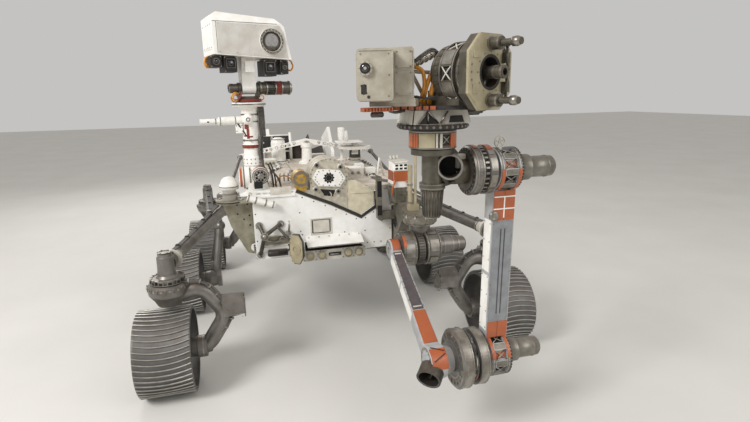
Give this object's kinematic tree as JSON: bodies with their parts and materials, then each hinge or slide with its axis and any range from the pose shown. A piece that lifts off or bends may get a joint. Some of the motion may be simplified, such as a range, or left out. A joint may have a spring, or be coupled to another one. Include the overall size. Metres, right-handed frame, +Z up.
{
  "type": "planetary rover",
  "caption": "Six-wheeled planetary rover with rocker-bogie legs, a camera mast and a jointed arm that carries a coring drill.",
  "frame": {"origin": "ground level under the middle of the whole rover's bounding box", "axes": "+Z up, the rover's front looks along -Y and its left side is at +X"},
  "size_m": [2.615, 3.9744, 2.2639],
  "materials": {
    "white_paint": "satin",
    "bare_deck": "satin",
    "wheel_metal": "satin",
    "suspension_metal": "satin",
    "actuator_metal": "satin",
    "dark_metal": "matte",
    "tan_blanket": "matte",
    "orange_flex": "matte",
    "link_paint": "satin",
    "turret_metal": "satin",
    "cream_cover": "satin"
  },
  "bodies": {
    "rover_body": {"chassis_box": "white_paint", "front_panel": "white_paint", "hazard_visor": "white_paint", "carousel_plate": "white_paint", "heat_exchangers": "white_paint", "flex_box": "white_paint", "mast_base": "white_paint", "mast_tube": "white_paint", "wind_sensor": "white_paint", "uhf_antenna": "white_paint", "differential_bar": "white_paint", "differential_links": "white_paint", "front_canister": "white_paint", "side_fitting": "white_paint", "top_deck": "bare_deck", "deck_instruments": "bare_deck", "antenna_base": "bare_deck", "low_gain_antenna": "bare_deck", "shoulder_bracket": "actuator_metal", "belly_pan": "actuator_metal", "hazard_cameras": "cream_cover", "rear_hazard_cameras": "dark_metal", "power_source": "dark_metal", "carousel_cover": "tan_blanket", "turret_restraint": "tan_blanket", "notch_bib": "tan_blanket", "arm_post": "tan_blanket", "round_cover": "cream_cover", "rocker_left": "suspension_metal", "bogie_left": "suspension_metal", "rocker_right": "suspension_metal", "bogie_right": "suspension_metal"},
    "steering_front_left": {"knuckle_front_left": "suspension_metal"},
    "steering_front_right": {"knuckle_front_right": "suspension_metal"},
    "steering_rear_left": {"knuckle_rear_left": "suspension_metal"},
    "steering_rear_right": {"knuckle_rear_right": "suspension_metal"},
    "wheel_front_left": {"wheel_front_left": "wheel_metal"},
    "wheel_front_right": {"wheel_front_right": "wheel_metal"},
    "wheel_middle_left": {"wheel_middle_left": "wheel_metal"},
    "wheel_middle_right": {"wheel_middle_right": "wheel_metal"},
    "wheel_rear_left": {"wheel_rear_left": "wheel_metal"},
    "wheel_rear_right": {"wheel_rear_right": "wheel_metal"},
    "mast_turntable": {"mast_neck": "actuator_metal"},
    "mast_head": {"mast_head": "white_paint", "mast_cameras": "dark_metal"},
    "arm_shoulder": {"shoulder_drum": "actuator_metal"},
    "arm_upper": {"upper_arm": "link_paint", "elbow_drum": "actuator_metal"},
    "arm_forearm": {"forearm": "link_paint"},
    "arm_wrist": {"wrist_drum": "actuator_metal", "wrist_bracket": "actuator_metal"},
    "turret": {"turret_base": "actuator_metal", "coring_drill": "turret_metal", "turret_instrument": "cream_cover"},
    "antenna_turntable": {"antenna_yoke": "actuator_metal"},
    "antenna": {"antenna_plate": "white_paint"}
  },
  "joints": [
    {"name": "steer_front_left", "type": "hinge", "parent": "rover_body", "child": "steering_front_left", "pos_m": [1.075, -0.6683, 0.64], "axis": [0, 0, 1], "range_deg": [-95, 95]},
    {"name": "steer_front_right", "type": "hinge", "parent": "rover_body", "child": "steering_front_right", "pos_m": [-1.075, -0.6683, 0.64], "axis": [0, 0, 1], "range_deg": [-95, 95]},
    {"name": "steer_rear_left", "type": "hinge", "parent": "rover_body", "child": "steering_rear_left", "pos_m": [0.955, 1.5917, 0.64], "axis": [0, 0, 1], "range_deg": [-95, 95]},
    {"name": "steer_rear_right", "type": "hinge", "parent": "rover_body", "child": "steering_rear_right", "pos_m": [-0.955, 1.5917, 0.64], "axis": [0, 0, 1], "range_deg": [-95, 95]},
    {"name": "spin_front_left", "type": "hinge", "parent": "steering_front_left", "child": "wheel_front_left", "pos_m": [1.12, -0.6683, 0.2625], "axis": [1, 0, 0], "continuous": true},
    {"name": "spin_front_right", "type": "hinge", "parent": "steering_front_right", "child": "wheel_front_right", "pos_m": [-1.12, -0.6683, 0.2625], "axis": [1, 0, 0], "continuous": true},
    {"name": "spin_middle_left", "type": "hinge", "parent": "rover_body", "child": "wheel_middle_left", "pos_m": [1.15, 0.5417, 0.2625], "axis": [1, 0, 0], "continuous": true},
    {"name": "spin_middle_right", "type": "hinge", "parent": "rover_body", "child": "wheel_middle_right", "pos_m": [-1.15, 0.5417, 0.2625], "axis": [1, 0, 0], "continuous": true},
    {"name": "spin_rear_left", "type": "hinge", "parent": "steering_rear_left", "child": "wheel_rear_left", "pos_m": [1, 1.5917, 0.2625], "axis": [1, 0, 0], "continuous": true},
    {"name": "spin_rear_right", "type": "hinge", "parent": "steering_rear_right", "child": "wheel_rear_right", "pos_m": [-1, 1.5917, 0.2625], "axis": [1, 0, 0], "continuous": true},
    {"name": "mast_pan", "type": "hinge", "parent": "rover_body", "child": "mast_turntable", "pos_m": [-0.52, -0.2583, 1.73], "axis": [0, 0, 1], "range_deg": [-180, 180]},
    {"name": "mast_tilt", "type": "hinge", "parent": "mast_turntable", "child": "mast_head", "pos_m": [-0.52, -0.2583, 1.82], "axis": [0.9659, 0.2588, 0], "range_deg": [-87, 91]},
    {"name": "arm_azimuth", "type": "hinge", "parent": "rover_body", "child": "arm_shoulder", "pos_m": [0.5, -0.7083, 0.945], "axis": [0, 0, 1], "range_deg": [-50, 40]},
    {"name": "arm_elevation", "type": "hinge", "parent": "arm_shoulder", "child": "arm_upper", "pos_m": [0.32, -0.7483, 0.785], "axis": [-1, 0, 0], "range_deg": [-20, 35]},
    {"name": "arm_elbow", "type": "hinge", "parent": "arm_upper", "child": "arm_forearm", "pos_m": [0.54, -1.5783, 0.458], "axis": [1, 0, 0], "range_deg": [-25, 110]},
    {"name": "arm_wrist", "type": "hinge", "parent": "arm_forearm", "child": "arm_wrist", "pos_m": [0.54, -1.6083, 1.42], "axis": [-1, 0, 0], "range_deg": [-100, 100]},
    {"name": "arm_turret", "type": "hinge", "parent": "arm_wrist", "child": "turret", "pos_m": [0.225, -1.6083, 1.615], "axis": [0, 0, 1], "range_deg": [-175, 175]},
    {"name": "antenna_pan", "type": "hinge", "parent": "rover_body", "child": "antenna_turntable", "pos_m": [0.41, 0.7417, 1.209], "axis": [0, 0, 1], "range_deg": [-170, 170]},
    {"name": "antenna_tilt", "type": "hinge", "parent": "antenna_turntable", "child": "antenna", "pos_m": [0.41, 0.7417, 1.264], "axis": [1, 0, 0], "range_deg": [0, 60]}
  ]
}
